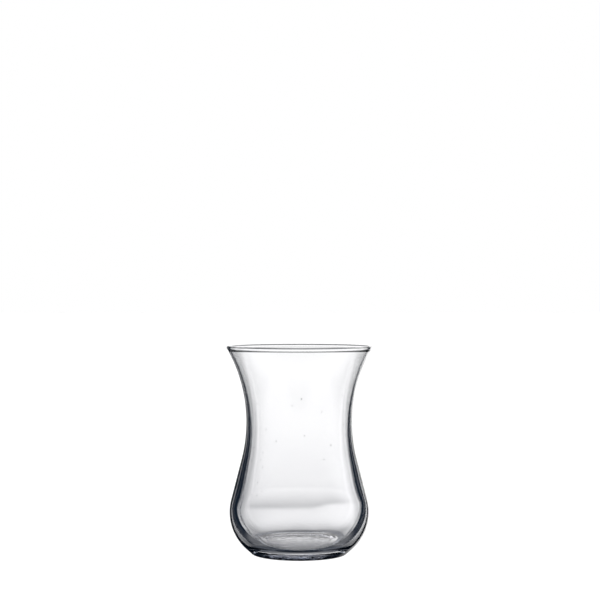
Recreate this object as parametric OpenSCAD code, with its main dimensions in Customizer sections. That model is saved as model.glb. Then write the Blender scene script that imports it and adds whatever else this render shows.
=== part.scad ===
// Tulip-waisted tea glass: one piece of clear glass, turned about +Z.
// The origin is on the table under the middle of the foot. Lengths are in millimetres.

/* [Height] */
// Height from the table to the top of the rim
glass_h = 90; // [80:1:94]
// Height of the narrowest place of the waist
waist_z = 57; // [55:1:62]
// Height of the widest place of the bulge
bulge_z = 18; // [18:0.5:20]

/* [Outside diameters] */
// Across the flared rim
rim_d = 63.2; // [59:0.2:72]
// Across the waist
waist_d = 46; // [42:0.5:50]
// Across the bulge
bulge_d = 60.5; // [58:0.5:61.5]
// Across the flat of the foot, before its edge is rounded
foot_d = 41.2; // [40.8:0.2:44]
// Radius of the bulge's round, seen from the side
bulge_round = 21; // [20:0.2:21.4]
// Radius of the foot's edge
foot_edge = 0.6; // [0.2:0.1:1]

/* [Glass thickness] */
// Wall just under the rim
rim_wall = 1.1; // [1:0.1:1.5]
// Wall at the waist
waist_wall = 1.7; // [1.4:0.1:2.6]
// Wall at the bulge
bulge_wall = 3.8; // [3.4:0.1:4.6]
// From the table up to the floor of the inside
floor_z = 4.6; // [4:0.2:5.4]
// Radius of the inside corner between the floor and the wall
floor_round = 6; // [2:0.5:8]
// Radius of the fire-polished bead round the rim
bead_r = 0.75; // [0.7:0.05:1]
// How far the middle of the foot is pushed up off the table
push_up = 1.2; // [0.6:0.1:2]
// Width of the flat ring that the glass stands on
ring_w = 2.4; // [1.5:0.1:4]

/* [Hidden] */
$fn = 180;
// Longest straight step along a round of the outline
step = 1.5;
// The fewest steps along one round
least_steps = 5;
rim_r = rim_d / 2;
waist_r = waist_d / 2;
bulge_r = bulge_d / 2;
foot_r = foot_d / 2;
bead_z = glass_h - bead_r;
// The bead stands this far proud of the wall that it closes
bead_proud = 0.02;
// The wall thins evenly upwards, so the inside is narrowest a little below the
// outside's waist and widest a little above the outside's bulge.
inner_waist_z = waist_z - 2.8;
inner_bulge_z = bulge_z + 1.2;
inner_round = bulge_round - bulge_wall;
glass_colour = [0.84, 0.88, 0.9, 0.4];

// The point at distance r from centre c, at turn degrees above the horizontal
function at(c, r, turn) = c + r * [cos(turn), sin(turn)];

// Points along a round of radius r about c, from one turn to another
function round_from(c, r, from, to) =
    let (steps = max(least_steps, ceil(abs(to - from) * PI / 180 * r / step)))
    [for (i = [0 : steps]) at(c, r, from + (to - from) * i / steps)];

// The side of the glass from the bulge up to the bead: the bulge's round from a
// given turn, a straight run that touches both rounds, and the waist's round,
// whose radius lets it stand upright at the waist and reach the rim.
function side_from(turn, top_r, narrow_r, narrow_z, wide_r, wide_z, wide_round) =
    let (
        rise = bead_z - narrow_z,
        flare = top_r - narrow_r,
        narrow_round = (rise * rise + flare * flare) / (2 * flare),
        narrow_c = [narrow_r + narrow_round, narrow_z],
        wide_c = [wide_r - wide_round, wide_z],
        reach = narrow_c - wide_c,
        run_turn = atan2(reach.y, reach.x) - acos((narrow_round + wide_round) / norm(reach))
    )
    concat(
        round_from(wide_c, wide_round, turn, run_turn),
        round_from(narrow_c, narrow_round, 180 + run_turn, 180 - asin(rise / narrow_round))
    );

// The outside, closed along the axis. The heel runs straight from the bulge's
// round down to the foot, whose edge is rounded.
module outside() {
    wide_c = [bulge_r - bulge_round, bulge_z];
    reach = [foot_r, 0] - wide_c;
    heel_turn = atan2(reach.y, reach.x) + acos(bulge_round / norm(reach));
    edge_c = [foot_r - foot_edge * tan((90 + heel_turn) / 2), foot_edge];
    polygon(concat(
        [[0, 0]],
        round_from(edge_c, foot_edge, -90, heel_turn),
        side_from(heel_turn, rim_r - bead_proud, waist_r, waist_z, bulge_r, bulge_z, bulge_round),
        [[0, bead_z]]
    ));
}

// The hollow, closed along the axis. A corner round turns the wall into the
// flat floor.
module hollow() {
    wide_c = [bulge_r - bulge_round, inner_bulge_z];
    drop = inner_bulge_z - floor_z - floor_round;
    corner_x = wide_c.x + sqrt(pow(inner_round - floor_round, 2) - drop * drop);
    corner_c = [corner_x, floor_z + floor_round];
    corner_turn = atan2(-drop, corner_x - wide_c.x);
    polygon(concat(
        [[0, floor_z]],
        round_from(corner_c, floor_round, -90, corner_turn),
        side_from(corner_turn, rim_r - rim_wall, waist_r - waist_wall, inner_waist_z,
            bulge_r - bulge_wall, inner_bulge_z, inner_round),
        [[0, bead_z]]
    ));
}

// The shallow dome under the foot, inside the ring that the glass stands on
module dome() {
    dome_r = foot_r - foot_edge - ring_w;
    ball_r = (dome_r * dome_r + push_up * push_up) / (2 * push_up);
    translate([0, push_up - ball_r]) circle(ball_r, $fn = 4 * $fn);
}

module bead() {
    translate([rim_r - bead_r, bead_z]) circle(bead_r);
}

module glass() {
    color(glass_colour) rotate_extrude() {
        difference() {
            outside();
            hollow();
            dome();
        }
        bead();
    }
}

glass();
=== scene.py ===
from math import acos, asin, atan2, ceil, cos, dist, hypot, pi, sin, sqrt, tan

import bpy
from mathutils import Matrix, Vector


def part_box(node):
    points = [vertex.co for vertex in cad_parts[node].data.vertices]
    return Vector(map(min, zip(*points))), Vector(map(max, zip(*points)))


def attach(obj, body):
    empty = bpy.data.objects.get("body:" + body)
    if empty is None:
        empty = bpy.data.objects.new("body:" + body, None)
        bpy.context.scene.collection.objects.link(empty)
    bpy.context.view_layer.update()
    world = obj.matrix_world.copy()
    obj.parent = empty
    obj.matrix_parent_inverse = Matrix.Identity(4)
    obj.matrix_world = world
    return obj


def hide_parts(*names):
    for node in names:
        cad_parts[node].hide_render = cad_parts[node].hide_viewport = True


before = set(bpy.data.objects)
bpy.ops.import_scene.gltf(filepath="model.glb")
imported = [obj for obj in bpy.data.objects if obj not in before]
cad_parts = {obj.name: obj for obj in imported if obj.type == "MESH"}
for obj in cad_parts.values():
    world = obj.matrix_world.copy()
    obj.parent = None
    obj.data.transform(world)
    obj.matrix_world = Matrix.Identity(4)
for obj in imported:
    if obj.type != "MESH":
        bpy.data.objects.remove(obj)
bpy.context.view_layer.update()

lowest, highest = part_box("glass")
glassHeight = highest.z - lowest.z
rimRadius = (highest.x - lowest.x) / 2

scene = bpy.context.scene


# a socket that can be used in sums: each operator adds the node it needs

class Wire:
    def __init__(self, tree, socket):
        self.tree = tree
        self.socket = socket

    def __add__(self, other):
        return self.tree.math("ADD", self, other)

    def __radd__(self, other):
        return self.tree.math("ADD", other, self)

    def __sub__(self, other):
        return self.tree.math("SUBTRACT", self, other)

    def __rsub__(self, other):
        return self.tree.math("SUBTRACT", other, self)

    def __mul__(self, other):
        return self.tree.math("MULTIPLY", self, other)

    def __rmul__(self, other):
        return self.tree.math("MULTIPLY", other, self)

    def __truediv__(self, other):
        return self.tree.math("DIVIDE", self, other)

    def __rtruediv__(self, other):
        return self.tree.math("DIVIDE", other, self)

    def __pow__(self, other):
        return self.tree.math("POWER", self, other)

    def __rpow__(self, other):
        return self.tree.math("POWER", other, self)

    def __neg__(self):
        return self.tree.math("MULTIPLY", self, -1.0)


class Tree:
    # wraps a node tree, and adds nodes to it

    def __init__(self, nodeTree):
        self.nodeTree = nodeTree

    def put(self, socket, value):
        if isinstance(value, Wire):
            self.nodeTree.links.new(value.socket, socket)
        else:
            socket.default_value = value

    def node(self, kind, settings=(), inputs=()):
        made = self.nodeTree.nodes.new(kind)
        for name, value in dict(settings).items():
            setattr(made, name, value)
        for name, value in dict(inputs).items():
            self.put(made.inputs[name], value)
        return made

    def add(self, kind, settings=(), inputs=(), out=0):
        return Wire(self, self.node(kind, settings, inputs).outputs[out])

    def math(self, operation, *values):
        return self.add("ShaderNodeMath", {"operation": operation}, enumerate(values))

    def split(self, vector):
        made = self.node("ShaderNodeSeparateXYZ", (), {0: vector})
        return [Wire(self, socket) for socket in made.outputs]

    def join(self, x, y, z):
        return self.add("ShaderNodeCombineXYZ", (), {"X": x, "Y": y, "Z": z})

    def noise(self, place, scale, detail, distortion=0.0):
        return self.add("ShaderNodeTexNoise", (), {
            "Vector": place, "Scale": scale, "Detail": detail, "Distortion": distortion})

    def random(self, low, high, seed):
        made = self.node("FunctionNodeRandomValue", {"data_type": "FLOAT"}, {"Seed": seed})
        limits = {"Min": low, "Max": high}
        for socket in made.inputs:
            if socket.enabled and socket.name in limits:
                socket.default_value = limits[socket.name]
        return Wire(self, [socket for socket in made.outputs if socket.enabled][0])

    def smooth(self, value, low, high, toLow=0.0, toHigh=1.0):
        return self.add("ShaderNodeMapRange", {"interpolation_type": "SMOOTHSTEP"}, {
            "Value": value, "From Min": low, "From Max": high, "To Min": toLow, "To Max": toHigh})

    def band(self, value, start, end):
        # 1 between two soft edges, 0 outside them
        return self.smooth(value, *start) * (1.0 - self.smooth(value, *end))

    def mixColour(self, share, a, b):
        made = self.node("ShaderNodeMix", {"data_type": "RGBA"})
        for index, value in ((0, share), (6, a), (7, b)):
            self.put(made.inputs[index], value)
        return Wire(self, made.outputs[2])


# camera: level, a little above the rim, looking along +Y

camera = {
    "away": 7.25 * glassHeight,
    "height": 1.222 * glassHeight,
    "aside": 0.0003,
    "lens": 90.0,
    "sensor": 36.0,
}


def makeCamera():
    data = bpy.data.cameras.new("camera")
    data.lens = camera["lens"]
    data.sensor_width = camera["sensor"]
    data.clip_start = 0.01
    made = bpy.data.objects.new("camera", data)
    made.location = (camera["aside"], -camera["away"], camera["height"])
    made.rotation_euler = (pi / 2, 0, 0)
    scene.collection.objects.link(made)
    scene.camera = made


makeCamera()
print("camera set")


# glass: the outline is drawn as rounds and straight runs, then turned by a Geometry Nodes tree

glass = {
    "waistHeight": 0.0570,
    "waistRadius": 0.0230,
    "bulgeHeight": 0.0180,
    "bulgeRadius": 0.03025,
    "bulgeRound": 0.0210,  # radius of the bulge, seen from the side
    "footRadius": 0.0206,
    "footEdge": 0.0006,
    "rimWall": 0.0011,
    "waistWall": 0.0017,
    "bulgeWall": 0.0038,
    "floorHeight": 0.0046,
    "floorRound": 0.0060,
    "beadRadius": 0.00075,
    "beadProud": 0.00002,
    "pushUp": 0.0012,  # dome under the foot
    "ringWidth": 0.0024,
    "innerWaistDrop": 0.0028,  # inside narrowest this far below the outside's waist
    "innerBulgeRise": 0.0012,
    "step": 0.0008,  # between points of the outline
    "around": 300,
    "unevenness": 0.0001,  # of the inside face
    "waveHeight": 0.0228,  # settle wave: a line across the front of the bulge
    "waveDepth": 0.0006,
    "waveReach": 0.012,  # it thickens this far above the line
    "waveRelease": 0.011,  # and lets go this far below it
    "waveLift": 0.0019,  # the line steps up on the right
    "waveSag": 0.0015,  # and sinks at both ends
    "waveHalf": 0.022,
    "waveStep": (0.004, 0.014),  # where the step is, out to the right
    "waveFront": (0.004, 0.022),  # where it fades in, towards the front
    "waveWobble": 0.001,
    "grainScale": 45.0,
    "bubbles": 34,
    "bubbleSize": 0.00028,
    "bubbleSizes": (0.7, 1.0),  # shares of the size
    "bubbleSpan": (0.24, 0.80),  # shares of the glass's height
    "bubbleDepth": 0.00055,  # outwards from the inside face
    "seed": 7,
}


def roundFrom(centre, radius, start, end, least=8):
    # points on a round about centre, from one angle to another
    count = max(least, ceil(abs(end - start) * radius / glass["step"]))
    turns = [start + (end - start) * i / count for i in range(count + 1)]
    return [(centre[0] + radius * cos(a), centre[1] + radius * sin(a)) for a in turns]


def sideFrom(start, topRadius, narrowRadius, narrowHeight, wideRadius, wideHeight, wideRound):
    # bulge round, a straight run that touches both rounds, and the waist's round up to the bead
    beadHeight = glassHeight - glass["beadRadius"]
    rise, flare = beadHeight - narrowHeight, topRadius - narrowRadius
    narrowRound = (rise * rise + flare * flare) / (2 * flare)
    narrow = (narrowRadius + narrowRound, narrowHeight)
    wide = (wideRadius - wideRound, wideHeight)
    reachX, reachZ = narrow[0] - wide[0], narrow[1] - wide[1]
    run = atan2(reachZ, reachX) - acos((narrowRound + wideRound) / hypot(reachX, reachZ))
    lower = roundFrom(wide, wideRound, start, run)
    upper = roundFrom(narrow, narrowRound, pi + run, pi - asin(rise / narrowRound))
    (x0, z0), (x1, z1) = lower[-1], upper[0]
    count = ceil(hypot(x1 - x0, z1 - z0) / glass["step"])
    between = [(x0 + (x1 - x0) * i / count, z0 + (z1 - z0) * i / count) for i in range(1, count)]
    return lower + between + upper


def outerOutline():
    # dome, foot ring and edge, then the side up to the bead
    g = glass
    wide = (g["bulgeRadius"] - g["bulgeRound"], g["bulgeHeight"])
    reach = (g["footRadius"] - wide[0], -wide[1])
    heel = atan2(reach[1], reach[0]) + acos(g["bulgeRound"] / hypot(*reach))
    edge = (g["footRadius"] - g["footEdge"] * tan((pi / 2 + heel) / 2), g["footEdge"])
    domeRadius = g["footRadius"] - g["footEdge"] - g["ringWidth"]
    ball = (domeRadius ** 2 + g["pushUp"] ** 2) / (2 * g["pushUp"])
    domeSteps = 24
    across = [domeRadius * i / domeSteps for i in range(domeSteps + 1)]
    dome = [(x, g["pushUp"] - ball + sqrt(ball * ball - x * x)) for x in across]
    foot = roundFrom(edge, g["footEdge"], -pi / 2, heel)
    return dome + foot + sideFrom(heel, rimRadius - g["beadProud"], g["waistRadius"], g["waistHeight"],
                                  g["bulgeRadius"], g["bulgeHeight"], g["bulgeRound"])


def innerOutline():
    # floor, corner round, then the side up to the bead
    g = glass
    innerRound = g["bulgeRound"] - g["bulgeWall"]
    bulgeHeight = g["bulgeHeight"] + g["innerBulgeRise"]
    wideX = g["bulgeRadius"] - g["bulgeRound"]
    drop = bulgeHeight - g["floorHeight"] - g["floorRound"]
    corner = (wideX + sqrt((innerRound - g["floorRound"]) ** 2 - drop * drop),
              g["floorHeight"] + g["floorRound"])
    turn = atan2(-drop, corner[0] - wideX)
    floorSteps = 20
    floor = [(corner[0] * i / floorSteps, g["floorHeight"]) for i in range(floorSteps)]
    side = sideFrom(turn, rimRadius - g["rimWall"], g["waistRadius"] - g["waistWall"],
                    g["waistHeight"] - g["innerWaistDrop"], g["bulgeRadius"] - g["bulgeWall"],
                    bulgeHeight, innerRound)
    return floor + roundFrom(corner, g["floorRound"], -pi / 2, turn) + side


def outline():
    # foot to bead outside, over the bead, and down the inside to the floor
    radius = glass["beadRadius"]
    bead = (rimRadius - radius, glassHeight - radius)
    outer = [p for p in outerOutline() if dist(p, bead) > radius]
    inner = [p for p in innerOutline() if dist(p, bead) > radius]
    start = atan2(outer[-1][1] - bead[1], outer[-1][0] - bead[0])
    end = atan2(inner[-1][1] - bead[1], inner[-1][0] - bead[0])
    joined = outer + roundFrom(bead, radius, start, end + 2 * pi, least=20) + inner[::-1]
    closest = 1e-5
    kept = joined[:1]
    for p in joined[1:]:
        if dist(p, kept[-1]) > closest:
            kept.append(p)
    return kept


def label(key):
    # waveHeight becomes Wave Height
    return "".join(" " + c if c.isupper() else c for c in key).title()


def waveOn(tree, given, x, y, height, noise):
    # the front of the inside thickens down to a line, then lets go again
    line = given["waveHeight"] + given["waveLift"] * tree.smooth(x, *glass["waveStep"])
    line = line + (noise - 0.5) * glass["waveWobble"]
    across = x / given["waveHalf"]
    line = line - given["waveSag"] * across * across
    above = tree.math("MAXIMUM", 1.0 - (height - line) / given["waveReach"], 0.0)
    above = above * above * above * tree.math("GREATER_THAN", height, line)
    share = (line - height) / given["waveRelease"]
    below = tree.smooth(share, 0.0, 1.0, 1.0, 0.0) * tree.math("LESS_THAN", height, line + 1e-7)
    front = tree.smooth(-y, *glass["waveFront"])
    return (above + below) * front * given["waveDepth"]


def turnedWall(tree, given, outlineMesh):
    # a flat grid, each column of it moved onto the outline and turned about the axis
    index = tree.add("GeometryNodeInputIndex")
    grid = tree.add("GeometryNodeMeshGrid", (), {
        "Vertices X": given["around"] + 1, "Vertices Y": given["outlinePoints"]})
    column = tree.math("FLOOR", index / given["outlinePoints"] + 1e-4)
    spot = index - column * given["outlinePoints"]
    position = tree.add("GeometryNodeInputPosition")
    sample = tree.add("GeometryNodeSampleIndex", {"data_type": "FLOAT_VECTOR", "domain": "POINT"}, {
        "Geometry": outlineMesh, "Index": spot, "Value": position})
    radius, _, height = tree.split(sample)
    flag = tree.add("GeometryNodeInputNamedAttribute", {"data_type": "FLOAT"}, {"Name": "inside"})
    inside = tree.add("GeometryNodeSampleIndex", {"data_type": "FLOAT", "domain": "POINT"}, {
        "Geometry": outlineMesh, "Index": spot, "Value": flag})
    turn = column / given["around"] * (2 * pi)
    x = radius * tree.math("COSINE", turn)
    y = radius * tree.math("SINE", turn)
    noise = tree.add("ShaderNodeTexNoise", {"noise_dimensions": "4D"}, {
        "Vector": tree.join(x, y, height), "W": given["seed"], "Scale": glass["grainScale"], "Detail": 1.0})
    swell = (noise - 0.5) * given["unevenness"] - waveOn(tree, given, x, y, height, noise)
    scale = 1.0 + swell * inside / tree.math("MAXIMUM", radius, 0.004)  # none at the axis
    moved = tree.add("GeometryNodeSetPosition", (), {
        "Geometry": grid, "Position": tree.join(x * scale, y * scale, height)})
    return tree.add("GeometryNodeMergeByDistance", (), {"Geometry": moved, "Distance": 1e-6})


def bubblesIn(tree, given, wall):
    # tiny air bubbles, each a hole in the middle of the wall
    turn = tree.random(0.0, 2 * pi, given["seed"] + 1)
    height = tree.random(*glass["bubbleSpan"], given["seed"] + 2) * given["glassHeight"]
    outwards = tree.join(tree.math("COSINE", turn), tree.math("SINE", turn), 0.0)
    face = tree.add("GeometryNodeRaycast", (), {
        "Target Geometry": wall, "Source Position": tree.join(0.0, 0.0, height),
        "Ray Direction": outwards, "Ray Length": 1.0}, out=1)
    depth = tree.add("ShaderNodeVectorMath", {"operation": "SCALE"}, {
        0: outwards, "Scale": given["bubbleDepth"]})
    place = tree.add("ShaderNodeVectorMath", {"operation": "ADD"}, {0: face, 1: depth})
    points = tree.add("GeometryNodePoints", (), {"Count": given["bubbles"], "Position": place})
    ball = tree.add("GeometryNodeMeshIcoSphere", (), {"Radius": 1.0, "Subdivisions": 2})
    size = tree.random(*glass["bubbleSizes"], given["seed"] + 3) * given["bubbleSize"]
    spread = tree.add("GeometryNodeInstanceOnPoints", (), {
        "Points": points, "Instance": ball, "Scale": size})
    real = tree.add("GeometryNodeRealizeInstances", (), {"Geometry": spread})
    return tree.add("GeometryNodeFlipFaces", (), {"Mesh": real})


def latheTree(material, sizes):
    group = bpy.data.node_groups.new("turnOutline", "GeometryNodeTree")
    group.interface.new_socket("Geometry", in_out="INPUT", socket_type="NodeSocketGeometry")
    for key, size in sizes.items():
        kind = "NodeSocketInt" if isinstance(size, int) else "NodeSocketFloat"
        group.interface.new_socket(label(key), in_out="INPUT", socket_type=kind)
    group.interface.new_socket("Geometry", in_out="OUTPUT", socket_type="NodeSocketGeometry")
    tree = Tree(group)
    sockets = tree.node("NodeGroupInput").outputs
    given = {key: Wire(tree, sockets[label(key)]) for key in sizes}
    wall = turnedWall(tree, given, Wire(tree, sockets["Geometry"]))
    joined = tree.node("GeometryNodeJoinGeometry")
    tree.put(joined.inputs[0], wall)
    tree.put(joined.inputs[0], bubblesIn(tree, given, wall))
    shaded = tree.add("GeometryNodeSetShadeSmooth", (), {"Geometry": Wire(tree, joined.outputs[0])})
    real = tree.add("GeometryNodeRealizeInstances", (), {"Geometry": shaded})
    done = tree.add("GeometryNodeSetMaterial", (), {"Geometry": real, "Material": material})
    tree.node("NodeGroupOutput", (), {0: done})
    return group


def makeGlass(material):
    points = outline()
    top = max(range(len(points)), key=lambda i: points[i][1])
    edges = [(i, i + 1) for i in range(len(points) - 1)]
    mesh = bpy.data.meshes.new("outline")
    mesh.from_pydata([(x, 0, z) for x, z in points], edges, [])
    inside = mesh.attributes.new("inside", "FLOAT", "POINT")
    inside.data.foreach_set("value", [float(i > top) for i in range(len(points))])
    source = bpy.data.objects.new("outline", mesh)
    scene.collection.objects.link(source)
    sizes = {key: glass[key] for key in (
        "around", "unevenness", "waveHeight", "waveDepth", "waveReach", "waveRelease", "waveLift",
        "waveSag", "waveHalf", "bubbles", "bubbleSize", "bubbleDepth", "seed")}
    sizes.update(outlinePoints=len(points), glassHeight=glassHeight)
    group = latheTree(material, sizes)
    modifier = source.modifiers.new("lathe", "NODES")
    modifier.node_group = group
    sockets = {item.name: item.identifier for item in group.interface.items_tree if item.in_out == "INPUT"}
    for key, size in sizes.items():
        modifier[sockets[label(key)]] = size
    depsgraph = bpy.context.evaluated_depsgraph_get()
    made = bpy.data.meshes.new_from_object(source.evaluated_get(depsgraph))
    bpy.data.objects.remove(source)
    piece = bpy.data.objects.new("teaGlass", made)
    scene.collection.objects.link(piece)
    return piece


clear = {
    "bend": 1.52,
    "clean": (1.0, 1.0, 1.0, 1),
    "cloudy": (0.985, 0.985, 0.992, 1),
    "cloudScale": 60.0,
    "smudge": 0.010,  # roughness of a hand's smudge
    "smudgeScale": 110.0,
    "smudgeFrom": (0.58, 0.72),  # only the noise's peaks
    # painted shade: the dark colour put on the foot's outer edge
    "paintedFootShade": (0.26, 0.30, 0.38, 1),
    "footShadeBelow": (0.00168, 0.0024),
    "footShadeFrom": (0.0180, 0.0190),  # out from the axis
    "footShadeScale": 260.0,
    "footShadeRagged": 0.0016,
    "peel": 0.000004,  # height of the wall's orange peel
    "peelScale": 220.0,
    "chill": 0.00016,  # height of the mottling on the inside floor
    "chillScale": 360.0,
    "chillRadius": (0.01395, 0.0155),
    "chillBelow": (0.00558, 0.0062),
    "depthTint": (0.42, 0.38, 0.76, 1),
    "depthStrength": 4.0,
}


def clearGlass():
    material = bpy.data.materials.new("clearGlass")
    material.use_nodes = True
    tree = Tree(material.node_tree)
    shader = material.node_tree.nodes["Principled BSDF"]
    shader.inputs["Transmission Weight"].default_value = 1.0
    shader.inputs["IOR"].default_value = clear["bend"]
    place = tree.add("ShaderNodeTexCoord", out="Object")
    x, y, z = tree.split(place)
    radius = (x * x + y * y) ** 0.5
    # the mould leaves soft clouds, and the outer edge of the foot gets painted shade: a dark base colour
    # standing in for the dark edge the glass refracts there
    cloud = tree.noise(place, clear["cloudScale"], 2.0)
    colour = tree.mixColour(cloud, clear["cloudy"], clear["clean"])
    # painted shade on the foot's outer edge, with a ragged top
    footShadeNoise = tree.noise(place, clear["footShadeScale"], 2.0)
    ragged = z + (footShadeNoise - 0.5) * clear["footShadeRagged"]
    footShade = tree.smooth(ragged, *clear["footShadeBelow"], 1.0, 0.0) * tree.smooth(radius, *clear["footShadeFrom"])
    tree.put(shader.inputs["Base Color"], tree.mixColour(footShade, colour, clear["paintedFootShade"]))
    # hands leave a few smudges
    touch = tree.noise(place, clear["smudgeScale"], 3.0, 0.6)
    tree.put(shader.inputs["Roughness"], tree.smooth(touch, *clear["smudgeFrom"]) * clear["smudge"])
    # orange peel on the walls, and a mottled floor where the plunger met the gather
    peel = tree.noise(place, clear["peelScale"], 1.0) * clear["peel"]
    chill = tree.noise(place, clear["chillScale"], 2.0, 0.4) * clear["chill"]
    floor = tree.smooth(radius, *clear["chillRadius"], 1.0, 0.0)
    floor = floor * tree.smooth(z, *clear["chillBelow"], 1.0, 0.0)
    bump = tree.add("ShaderNodeBump", (), {"Strength": 1.0, "Distance": 1.0, "Height": peel + chill * floor})
    tree.put(shader.inputs["Normal"], bump)
    depth = tree.add("ShaderNodeVolumeAbsorption", (), {
        "Color": clear["depthTint"], "Density": clear["depthStrength"]})
    tree.put(material.node_tree.nodes["Material Output"].inputs["Volume"], depth)
    return material


piece = makeGlass(clearGlass())
# nothing but a clean floor shows under it
piece.visible_shadow = False
piece.visible_diffuse = False
print("glass turned:", len(piece.data.polygons), "faces")

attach(piece, "root")
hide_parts("glass")


# studio: one white panel behind, dark panels beside it, white again at the sides and in front

studio = {
    "floorSize": 24.0,
    "floorColour": (0.9, 0.9, 0.9, 1),
    "white": (1.0, 1.0, 1.0, 1),
    "dark": (0.006, 0.011, 0.020, 1),
    "panelLight": 1.14,
    "sideLight": 2.0,
    "frontLight": 1.45,
    "overhead": 0.2,
    "floorLight": 1.30,
    # the rest are angles in degrees, sideways from straight behind or up from level, and shares
    "leftPanel": ((17.0, 20.0), (50.0, 56.0)),
    "rightPanel": ((19.0, 24.0), (48.0, 54.0)),
    "panelFoot": (-26.0, -14.0),
    "panelTop": (8.0, 40.0),
    "middle": (24.0, 34.0),  # panels reach lower inside this
    "sidePanels": ((22.0, 30.0), (46.0, 56.0)),  # either side of straight left and right
    "sideFoot": (-14.0, -8.0),
    "sideDark": 0.85,
    "leftFade": ((2.0, 16.0), (20.0, 50.0)),
    "leftFadeDark": 0.42,
    "rightFade": ((10.0, 20.0), (20.0, 50.0)),
    "rightFadeDark": 0.12,
    "tableEdge": -15.0,
    "tableSwing": 14.0,
    "tableSoft": 8.5,
    "underTable": 0.17,
    "deep": (-62.0, -34.0),
    "deepDark": 0.10,
    "glow": ((28.0, 38.0), (52.0, 64.0)),
    "glowLight": 0.12,
    "strips": ((52.0, 54.0), (60.0, 63.0)),
    "stripFoot": (-34.0, -24.0),
    "stripLight": 0.5,
    "highLight": 0.5,
    "leftEdge": (1.0, 5.0),
    "frontEdge": (68.0, 82.0),
    "frontEdgeLight": 0.7,
    "sideFrom": (50.0, 60.0),
    "frontFrom": (95.0, 130.0),
    "overheadFrom": (30.0, 60.0),
}


def makeFloor():
    half = studio["floorSize"] / 2
    corners = [(-half, -half, 0), (half, -half, 0), (half, half, 0), (-half, half, 0)]
    mesh = bpy.data.meshes.new("floor")
    mesh.from_pydata(corners, [], [(0, 1, 2, 3)])
    made = bpy.data.objects.new("floor", mesh)
    scene.collection.objects.link(made)
    material = bpy.data.materials.new("paleFloor")
    material.use_nodes = True
    shader = material.node_tree.nodes["Principled BSDF"]
    shader.inputs["Base Color"].default_value = studio["floorColour"]
    shader.inputs["Roughness"].default_value = 0.9
    shader.inputs["Specular IOR Level"].default_value = 0.2
    mesh.materials.append(material)
    # the glass picks up the panels below the table too, not the bare floor
    made.visible_transmission = False
    made.visible_glossy = False
    return made


def panelDark(tree, azimuth, away, rise, ceiling):
    # dark panels left and right of the white one, cut short low down except close to it
    s = studio
    left = tree.band(-azimuth, *s["leftPanel"])
    right = tree.band(azimuth, *s["rightPanel"])
    low = tree.math("MAXIMUM", tree.smooth(rise, *s["panelFoot"]), 1.0 - tree.smooth(away, *s["middle"]))
    # fainter ones either side of straight left and straight right
    side = tree.math("ABSOLUTE", away - 90.0)
    sides = tree.band(side, *s["sidePanels"]) * tree.smooth(rise, *s["sideFoot"]) * s["sideDark"]
    return tree.math("MAXIMUM", (left + right) * low, sides) * ceiling


def tableLight(tree, azimuth, rise):
    # below the table it goes dark, sooner straight ahead than at the corners
    s = studio
    swing = tree.math("COSINE", azimuth * (4 * pi / 180)) - 1.0
    height = (rise - s["tableEdge"] - swing * s["tableSwing"]) / s["tableSoft"]
    table = tree.smooth(height, -1.0, 1.0, s["underTable"], 1.0)
    return table * tree.smooth(rise, *s["deep"], s["deepDark"], 1.0)


def makeWorld():
    world = bpy.data.worlds.new("studio")
    scene.world = world
    world.use_nodes = True
    world.node_tree.nodes.clear()
    tree = Tree(world.node_tree)
    s = studio
    x, y, z = tree.split(tree.add("ShaderNodeTexCoord", out="Generated"))
    azimuth = tree.math("ARCTAN2", x, y) * (180 / pi)
    rise = tree.math("ARCSINE", z) * (180 / pi)
    away = tree.math("ABSOLUTE", azimuth)
    ceiling = 1.0 - tree.smooth(rise, *s["panelTop"])
    table = tableLight(tree, azimuth, rise)
    fade = 1.0 - tree.band(-azimuth, *s["leftFade"]) * s["leftFadeDark"]
    fade = fade - tree.band(azimuth, *s["rightFade"]) * s["rightFadeDark"]
    leftOf = tree.smooth(-azimuth, *s["leftPanel"][0])
    rightOf = tree.smooth(azimuth, *s["rightPanel"][0])
    # light straight through the glass
    through = (1.0 - panelDark(tree, azimuth, away, rise, ceiling)) * fade * table
    # light that bounced about inside a wall finds the white panel, two narrow strips and the table's glow
    strips = tree.band(away, *s["strips"]) * tree.smooth(rise, *s["stripFoot"]) * ceiling * s["stripLight"]
    glow = tree.band(-rise, *s["glow"]) * s["glowLight"] + (1.0 - ceiling) * s["highLight"]
    inner = (1.0 - leftOf) * (1.0 - rightOf) * fade * table + strips + glow
    # light thrown back off the outside
    front = tree.smooth(away, *s["frontEdge"]) * s["frontEdgeLight"]
    edges = (tree.smooth(-azimuth, *s["leftEdge"]) + rightOf) * (1.0 - front)
    thrown = (1.0 - edges) * table
    path = tree.node("ShaderNodeLightPath").outputs
    entered = tree.math("GREATER_THAN", Wire(tree, path["Transmission Depth"]), 0.5)
    bounced = tree.math("GREATER_THAN", Wire(tree, path["Glossy Depth"]), 0.5) * entered
    light = through * (entered - bounced) + inner * bounced + thrown * (1.0 - entered)
    colour = tree.mixColour(tree.math("MINIMUM", light, 1.0), s["dark"], s["white"])
    level = 1.0 + tree.smooth(away, *s["sideFrom"]) * (s["sideLight"] - 1.0)
    level = level + tree.smooth(away, *s["frontFrom"]) * (s["frontLight"] - s["sideLight"])
    level = level * tree.smooth(rise, *s["overheadFrom"], 1.0, s["overhead"]) * s["panelLight"]
    # the backdrop and the floor are plain white
    isCamera = Wire(tree, path["Is Camera Ray"])
    isDiffuse = Wire(tree, path["Is Diffuse Ray"])
    plain = tree.math("MAXIMUM", isCamera, isDiffuse)
    shown = tree.mixColour(plain, colour, s["white"])
    power = level * (1.0 - plain) + isCamera + isDiffuse * s["floorLight"]
    background = tree.add("ShaderNodeBackground", (), {"Color": shown, "Strength": power})
    tree.node("ShaderNodeOutputWorld", (), {"Surface": background})


makeFloor()
makeWorld()
scene.view_settings.view_transform = "Standard"
print("studio set")
